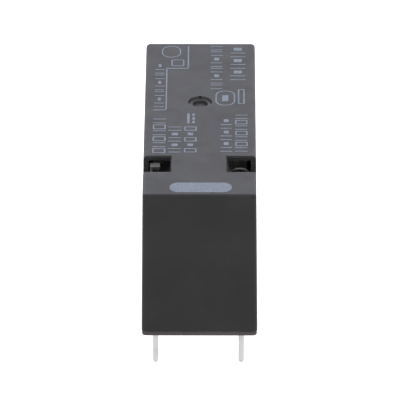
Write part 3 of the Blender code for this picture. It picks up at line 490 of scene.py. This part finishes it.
def inkFinish(look):
    finish, tree, shader = newFinish("padPrintInk", look["ink"], look["roughness"][0])
    shader.inputs["Specular IOR Level"].default_value = look["specular"]
    speckles = remap(tree, noise(tree, look["specklesPerMetre"], 3.0, 0.7), 0.42, 0.62)
    varyTone(tree, shader, speckles, look["ink"], look["thin"])
    tree.links.new(remap(tree, speckles, 0.0, 1.0, *look["roughness"]),
                   shader.inputs["Roughness"])
    addBump(tree, shader, speckles, 0.3, look["speckleDepth"])
    return finish


def inkSpan(lowX, highX, lowS, highS):
    # half sizes and middle of a mark, in metres; s runs from the coil end of the case
    return ((highX - lowX) / 2 * mm, (highS - lowS) / 2 * mm,
            (lowX + highX) / 2 * mm, nearY + (lowS + highS) / 2 * mm)


def heldRadius(radius, halfX, halfS):
    return min(radius * mm, halfX * printLook["roundest"], halfS * printLook["roundest"])


def inkBar(bm, lowX, highX, lowS, highS, radius=None):
    halfX, halfS, x, y = inkSpan(lowX, highX, lowS, highS)
    if radius is None:
        corner, steps = min(halfX, halfS) * printLook["barRounding"], 3
    else:
        corner, steps = heldRadius(radius, halfX, halfS), 8
    outline = placed(roundedOutline(halfX, halfS, corner, steps), x, y)
    bridgeLoops(bm, [atHeight(outline, inkLow), atHeight(outline, inkHigh)], ring=False)


def inkRing(bm, lowX, highX, lowS, highS, radius):
    halfX, halfS, x, y = inkSpan(lowX, highX, lowS, highS)
    corner, inset = heldRadius(radius, halfX, halfS), printLook["stroke"] * mm
    innerCorner = max(corner - inset, printLook["leastRadius"] * mm)
    outer = placed(roundedOutline(halfX, halfS, corner, 5), x, y)
    inner = placed(roundedOutline(halfX - inset, halfS - inset, innerCorner, 5), x, y)
    bridgeLoops(bm, [atHeight(outer, inkLow), atHeight(outer, inkHigh),
                     atHeight(inner, inkHigh), atHeight(inner, inkLow)], ring=True)


def inkRow(bm, lowX, highX, lowS, highS, pattern):
    # marks of the pattern, spread evenly over the row
    space, stroke = printLook["space"], printLook["stroke"]
    marginX, marginS = printLook["blockMargins"]
    count = round((highS - lowS) / (printLook["cell"] + space))
    pitch = (highS - lowS + space) / count
    for i in range(count):
        start = lowS + i * pitch
        end = start + pitch - space
        kind = pattern[i % len(pattern)]
        if kind == "frame":
            inkRing(bm, lowX, highX, start, end, printLook["frameRadius"])
        elif kind == "block":
            inkBar(bm, lowX + marginX, highX - marginX, start + marginS, end - marginS)
        else:  # rungs
            inkBar(bm, lowX, highX, start, start + stroke)
            inkBar(bm, lowX, highX, end - stroke, end)


inkLow, inkHigh = roofZ - printLook["sink"] * mm, roofZ + printLook["height"] * mm
ink = inkFinish(printLook)
markMakers = {"bar": inkBar, "ring": inkRing, "row": inkRow}
for pieceName, marks in printPieces.items():
    bm = bmesh.new()
    for kind, *numbers in marks:
        markMakers[kind](bm, *numbers)
    meshPiece(pieceName, bm, ink, "relay_body")
print("print done")


# sealing resin round each pin, under the base

resinLook = {
    "colour": (0.030, 0.026, 0.024),
    "deep": (0.018, 0.016, 0.015),
    "roughness": (0.1, 0.24),
    "cloudsPerMetre": 900,
    "rippleDepth": 0.02 * mm,
    "standoff": 0.3 * mm,
    "pinPart": (0.2 * mm, 3.4 * mm),  # heights that the pin's section is read between
    "reach": 0.46 * mm,  # from the pin to the wall of its well
    "overlap": 0.002 * mm,
    "corner": 0.02 * mm,
    "cornerGrowth": 0.1,
    "smoothAngle": 50,
    # share of the reach, and height over the flange in millimetres
    "profile": ((1.0, 0.3), (1.0, 0.02), (0.8, 0.09), (0.45, 0.117), (0.15, 0.06),
                (0.0, -0.03), (0.0, 0.3)),
}


def resinFinish(look):
    finish, tree, shader = newFinish("sealingResin", look["colour"], look["roughness"][0])
    clouds = noise(tree, look["cloudsPerMetre"])
    varyTone(tree, shader, remap(tree, clouds, 0.35, 0.65), look["colour"], look["deep"])
    varyRoughness(tree, shader, clouds, look["roughness"])
    addBump(tree, shader, clouds, 0.3, look["rippleDepth"])
    return finish


def pinSection(name):
    # middle and half sizes of a terminal's pin
    low, high = resinLook["pinPart"]
    points = [v.co for v in nodes[name].data.vertices if low < v.co.z < high]
    lowX, highX = min(p.x for p in points), max(p.x for p in points)
    lowY, highY = min(p.y for p in points), max(p.y for p in points)
    return (lowX + highX) / 2, (lowY + highY) / 2, (highX - lowX) / 2, (highY - lowY) / 2


resin = resinFinish(resinLook)
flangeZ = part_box("base")[0].z + resinLook["standoff"]
for terminal in pinTerminals:
    x, y, halfX, halfY = pinSection(terminal)
    loops = []
    for share, height in resinLook["profile"]:
        grow = resinLook["reach"] * share + resinLook["overlap"] * (1 - share)
        corner = resinLook["corner"] + resinLook["cornerGrowth"] * grow
        outline = placed(roundedOutline(halfX + grow, halfY + grow, corner, 2), x, y)
        loops.append(atHeight(outline, flangeZ + height * mm))
    bm = bmesh.new()
    bridgeLoops(bm, loops, ring=True)
    meshPiece("resin_" + terminal, bm, resin, "relay_body",
              resinLook["smoothAngle"])
print("resin done")


# studio: pale floor, soft light, camera

floorLook = {
    "radius": 2.5,
    "sides": 96,
    "drop": 0.02 * mm,  # below the tips of the pins
    "tone": (0.35, 0.35, 0.35),
    "glow": 0.90,
    "roughness": (0.66, 0.74),
    "cloudsPerMetre": 12,
}
worldLook = {
    "tone": (0.90, 0.92, 0.96),
    "light": 0.55,
    "horizonLight": 1.15,
    "horizonRise": (0.02, 0.05),
}
lightsAim = (0.0, 0.0, 12 * mm)
softboxes = {
    "overheadBox": {"place": (0.0, 0.05, 0.55), "size": (0.7, 0.7), "radiance": 2.0},
    "rearBox": {"place": (0.0, 0.7, 0.42), "size": (1.2, 0.6), "radiance": 3.25,
                "tint": (0.95, 0.955, 1.07)},
    "frontFill": {"place": (0.0, -0.7, 0.4), "size": (0.6, 0.4), "radiance": 11.0,
                  "highlight": False},  # it lifts shaded walls, and leaves no highlight
    "rearLeftBox": {"place": (-0.75, 1.0, 0.1), "size": (0.9, 0.35), "radiance": 1.6},
    "rearRightBox": {"place": (0.75, 1.0, 0.1), "size": (0.9, 0.35), "radiance": 1.6},
    "leftBox": {"place": (-0.6, -0.25, 0.2), "size": (0.35, 0.5), "radiance": 0.7},
    "rightBox": {"place": (0.6, -0.25, 0.2), "size": (0.35, 0.5), "radiance": 0.7},
}
cameraSetting = {
    "place": (1.783 * mm, -410.46 * mm, 243.16 * mm),
    "down": 29.667,  # degrees, as yaw and roll are
    "yaw": -0.25,
    "roll": -0.03,
    "lens": 478.03,
    "sensor": 36.0,
    "clip": (0.01, 20.0),
}


def makeFloor(look):
    bm = bmesh.new()
    bmesh.ops.create_circle(bm, cap_ends=True, segments=look["sides"], radius=look["radius"])
    mesh = bpy.data.meshes.new("studioFloor")
    bm.to_mesh(mesh)
    bm.free()
    finish, tree, shader = newFinish("paleFloor", look["tone"], look["roughness"][0])
    shader.inputs["Emission Color"].default_value = (1.0, 1.0, 1.0, 1.0)
    shader.inputs["Emission Strength"].default_value = look["glow"]
    varyRoughness(tree, shader, noise(tree, look["cloudsPerMetre"], 2.0), look["roughness"])
    mesh.materials.append(finish)
    floor = bpy.data.objects.new("studioFloor", mesh)
    bpy.context.scene.collection.objects.link(floor)
    floor.location = (0.0, 0.0, -look["drop"])


def makeWorld(look):
    world = bpy.data.worlds.new("studioWorld")
    bpy.context.scene.world = world
    world.use_nodes = True
    tree = world.node_tree
    background = tree.nodes["Background"]
    background.inputs["Color"].default_value = (*look["tone"], 1.0)
    # white where the floor ends, dimmer above, so that low views show no band
    direction = tree.nodes.new("ShaderNodeTexCoord")
    parts = tree.nodes.new("ShaderNodeSeparateXYZ")
    tree.links.new(direction.outputs["Generated"], parts.inputs["Vector"])
    strength = remap(tree, parts.outputs["Z"], *look["horizonRise"], look["horizonLight"],
                     look["light"])
    tree.links.new(strength, background.inputs["Strength"])


def makeSoftbox(name, box):
    data = bpy.data.lights.new(name, "AREA")
    data.color = box.get("tint", (1.0, 1.0, 1.0))
    data.shape = "RECTANGLE"
    data.size, data.size_y = box["size"]
    data.energy = box["radiance"] * math.pi * data.size * data.size_y
    light = bpy.data.objects.new(name, data)
    bpy.context.scene.collection.objects.link(light)
    light.location = box["place"]
    toAim = Vector(lightsAim) - Vector(box["place"])
    light.rotation_euler = toAim.to_track_quat("-Z", "Y").to_euler()
    light.visible_glossy = box.get("highlight", True)


def makeCamera(setting):
    down, yaw, roll = (math.radians(setting[key]) for key in ("down", "yaw", "roll"))
    ahead = Vector((math.cos(down) * math.sin(yaw), math.cos(down) * math.cos(yaw),
                    -math.sin(down)))
    right = Vector((math.cos(yaw), -math.sin(yaw), 0.0))
    up = right.cross(ahead)
    rolledRight = right * math.cos(roll) + up * math.sin(roll)
    rolledUp = up * math.cos(roll) - right * math.sin(roll)
    turn = Matrix((rolledRight, rolledUp, -ahead)).transposed().to_4x4()
    data = bpy.data.cameras.new("photoCamera")
    data.lens, data.sensor_width = setting["lens"], setting["sensor"]
    data.clip_start, data.clip_end = setting["clip"]
    camera = bpy.data.objects.new("photoCamera", data)
    bpy.context.scene.collection.objects.link(camera)
    camera.matrix_world = Matrix.Translation(setting["place"]) @ turn
    bpy.context.scene.camera = camera


makeFloor(floorLook)
makeWorld(worldLook)
for boxName, box in softboxes.items():
    makeSoftbox(boxName, box)
makeCamera(cameraSetting)
bpy.context.scene.view_settings.view_transform = "Standard"
print("studio done")
